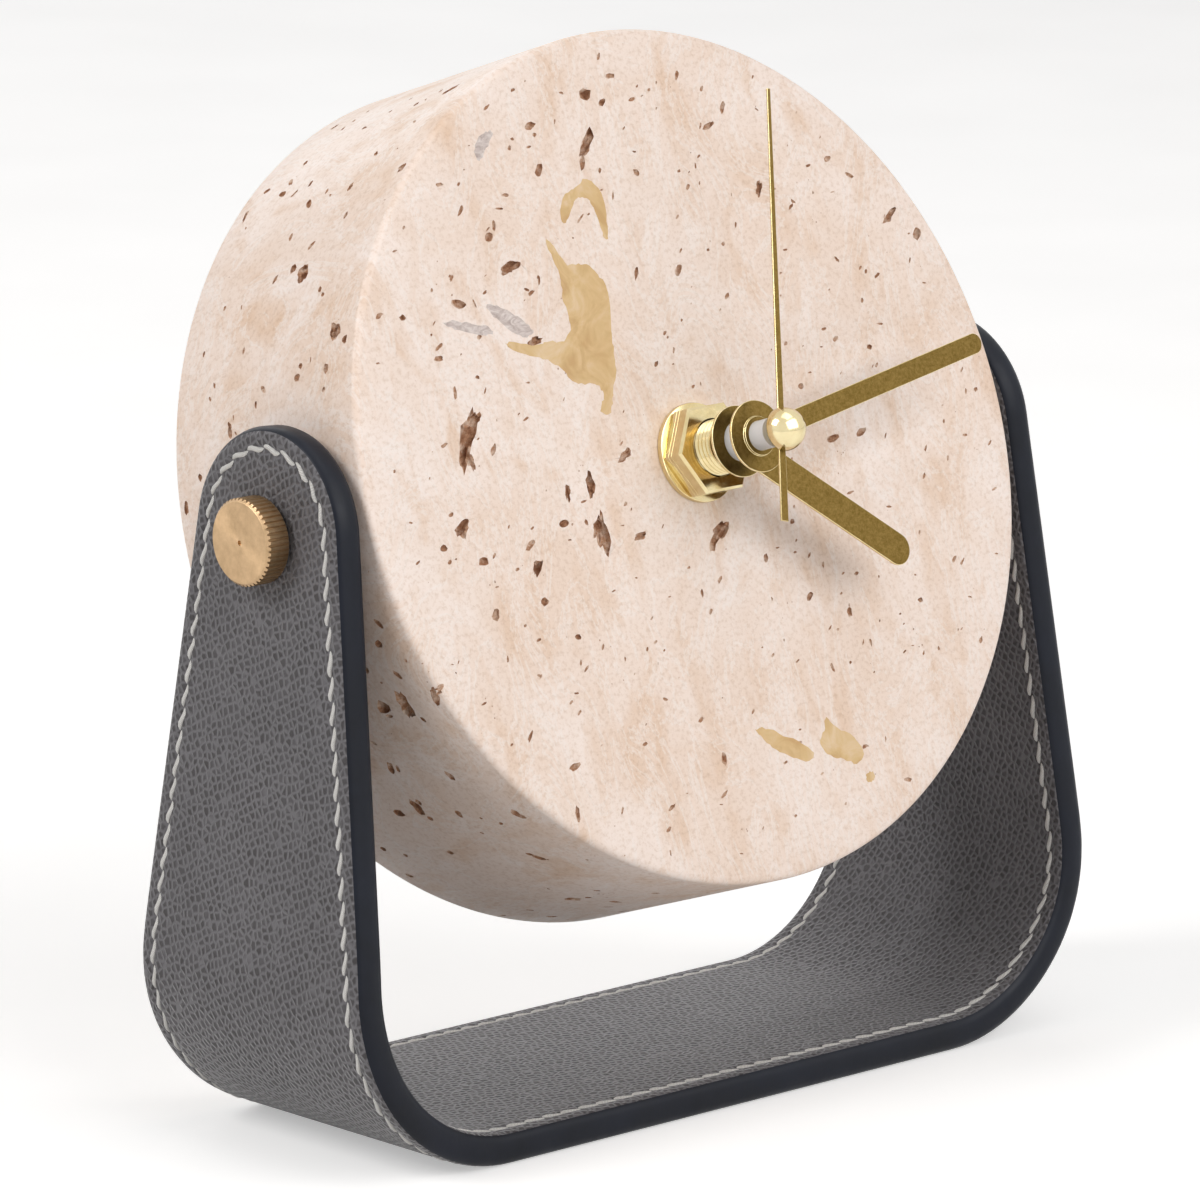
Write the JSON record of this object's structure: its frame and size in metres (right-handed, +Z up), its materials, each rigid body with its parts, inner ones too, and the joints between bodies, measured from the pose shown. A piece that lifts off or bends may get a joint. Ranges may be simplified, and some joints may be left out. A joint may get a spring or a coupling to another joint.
{
  "type": "tilting desk clock",
  "caption": "Round travertine desk clock with gold hands, tilting on knurled thumb screws in a U-shaped stitched leather strap stand.",
  "frame": {"origin": "middle of the strap stand's underside, on the table", "axes": "+X to the right seen from the front, front towards -Y, +Z up; the tilt pivots run along X"},
  "size_m": [0.1408, 0.0779, 0.1482],
  "materials": {
    "grey_leather": "embossed cross grain, semi-matt",
    "stitch_thread": "waxed twisted thread",
    "painted_edge": "smooth edge paint, satin",
    "spring_steel": "rolled",
    "travertine": "honed, open pores",
    "turned_brass": "brushed, straight knurl",
    "nylon": "moulded",
    "white_acetal": "moulded",
    "magnet": "sintered",
    "black_plastic": "fine spark texture",
    "gold_hands": "flat stamped, anodised gold",
    "polished_gold": "polished",
    "black_rubber": "moulded",
    "soft_iron": "annealed",
    "copper_wire": "enamelled winding",
    "circuit_laminate": "solder mask",
    "chip_resin": "potted",
    "crystal_can": "drawn can",
    "battery_jacket": "printed sleeve, plain",
    "nickel_strip": "nickel plated"
  },
  "bodies": {
    "stand": {"strap_outer_leather": "grey_leather", "strap_steel_core": "spring_steel", "strap_edge_filler": "painted_edge", "strap_inner_leather": "grey_leather"},
    "clock_head": {"stone_block": "travertine", "pivot_insert_left": "turned_brass", "pivot_insert_right": "turned_brass", "pivot_washer_left": "nylon", "pivot_washer_right": "nylon", "rubber_seal": "black_rubber", "brass_washer": "polished_gold", "hex_nut": "polished_gold", "threaded_bushing": "polished_gold", "movement_front_case": "black_plastic", "movement_rear_case": "black_plastic", "stator_plate": "soft_iron", "coil_core": "soft_iron", "coil_bobbin": "white_acetal", "coil_winding": "copper_wire", "circuit_board": "circuit_laminate", "chip": "chip_resin", "quartz_crystal": "crystal_can", "battery_cell": "battery_jacket", "battery_contact_negative": "nickel_strip", "battery_contact_positive": "nickel_strip"},
    "screw_left": {"thumb_screw_left": "turned_brass"},
    "screw_right": {"thumb_screw_right": "turned_brass"},
    "second_group": {"second_wheel": "white_acetal", "second_hand": "gold_hands", "second_hand_cap": "polished_gold"},
    "minute_group": {"centre_wheel": "white_acetal", "minute_hand": "gold_hands"},
    "hour_group": {"hour_wheel": "white_acetal", "hour_hand": "gold_hands"},
    "third_group": {"third_wheel": "white_acetal"},
    "intermediate_group": {"intermediate_wheel": "white_acetal"},
    "rotor_group": {"rotor_pinion": "white_acetal", "rotor_magnet": "magnet"},
    "minute_work_group": {"minute_work_wheel": "white_acetal"},
    "setting_group": {"setting_knob": "black_plastic"}
  },
  "joints": [
    {"name": "head_tilt", "type": "hinge", "parent": "stand", "child": "clock_head", "pos_m": [0, 0, 0.08675], "axis": [-1, 0, 0], "continuous": true},
    {"name": "left_screw_turn", "type": "hinge", "parent": "clock_head", "child": "screw_left", "pos_m": [-0.0684, 0, 0.08675], "axis": [-1, 0, 0], "range_deg": [0, 360]},
    {"name": "right_screw_turn", "type": "hinge", "parent": "clock_head", "child": "screw_right", "pos_m": [0.0684, 0, 0.08675], "axis": [1, 0, 0], "range_deg": [0, 360]},
    {"name": "second_hand_turn", "type": "hinge", "parent": "clock_head", "child": "second_group", "pos_m": [0, -0.00294, 0.08774], "axis": [0, 0.9475, -0.3196], "continuous": true},
    {"name": "minute_hand_turn", "type": "hinge", "parent": "clock_head", "child": "minute_group", "pos_m": [0, -0.00294, 0.08774], "axis": [0, 0.9475, -0.3196], "continuous": true},
    {"name": "hour_hand_turn", "type": "hinge", "parent": "clock_head", "child": "hour_group", "pos_m": [0, -0.00294, 0.08774], "axis": [0, 0.9475, -0.3196], "continuous": true},
    {"name": "third_wheel_turn", "type": "hinge", "parent": "clock_head", "child": "third_group", "pos_m": [-0.009, -0.00294, 0.08774], "axis": [0, 0.9475, -0.3196], "continuous": true},
    {"name": "intermediate_wheel_turn", "type": "hinge", "parent": "clock_head", "child": "intermediate_group", "pos_m": [0, -0.00006, 0.09627], "axis": [0, 0.9475, -0.3196], "continuous": true},
    {"name": "rotor_turn", "type": "hinge", "parent": "clock_head", "child": "rotor_group", "pos_m": [0.00107, 0.00188, 0.10202], "axis": [0, 0.9475, -0.3196], "continuous": true},
    {"name": "minute_work_turn", "type": "hinge", "parent": "clock_head", "child": "minute_work_group", "pos_m": [0.0072, -0.00294, 0.08774], "axis": [0, 0.9475, -0.3196], "continuous": true},
    {"name": "setting_knob_turn", "type": "hinge", "parent": "clock_head", "child": "setting_group", "pos_m": [0.01344, -0.00179, 0.09115], "axis": [0, 0.9475, -0.3196], "continuous": true}
  ],
  "couplings": [
    {"joint": "third_wheel_turn", "follows": "second_hand_turn", "ratio": -0.13333},
    {"joint": "minute_hand_turn", "follows": "second_hand_turn", "ratio": 0.016667},
    {"joint": "minute_work_turn", "follows": "second_hand_turn", "ratio": -0.0055556},
    {"joint": "hour_hand_turn", "follows": "second_hand_turn", "ratio": 0.0013889},
    {"joint": "setting_knob_turn", "follows": "second_hand_turn", "ratio": 0.016667},
    {"joint": "intermediate_wheel_turn", "follows": "second_hand_turn", "ratio": -5},
    {"joint": "rotor_turn", "follows": "second_hand_turn", "ratio": 30}
  ]
}
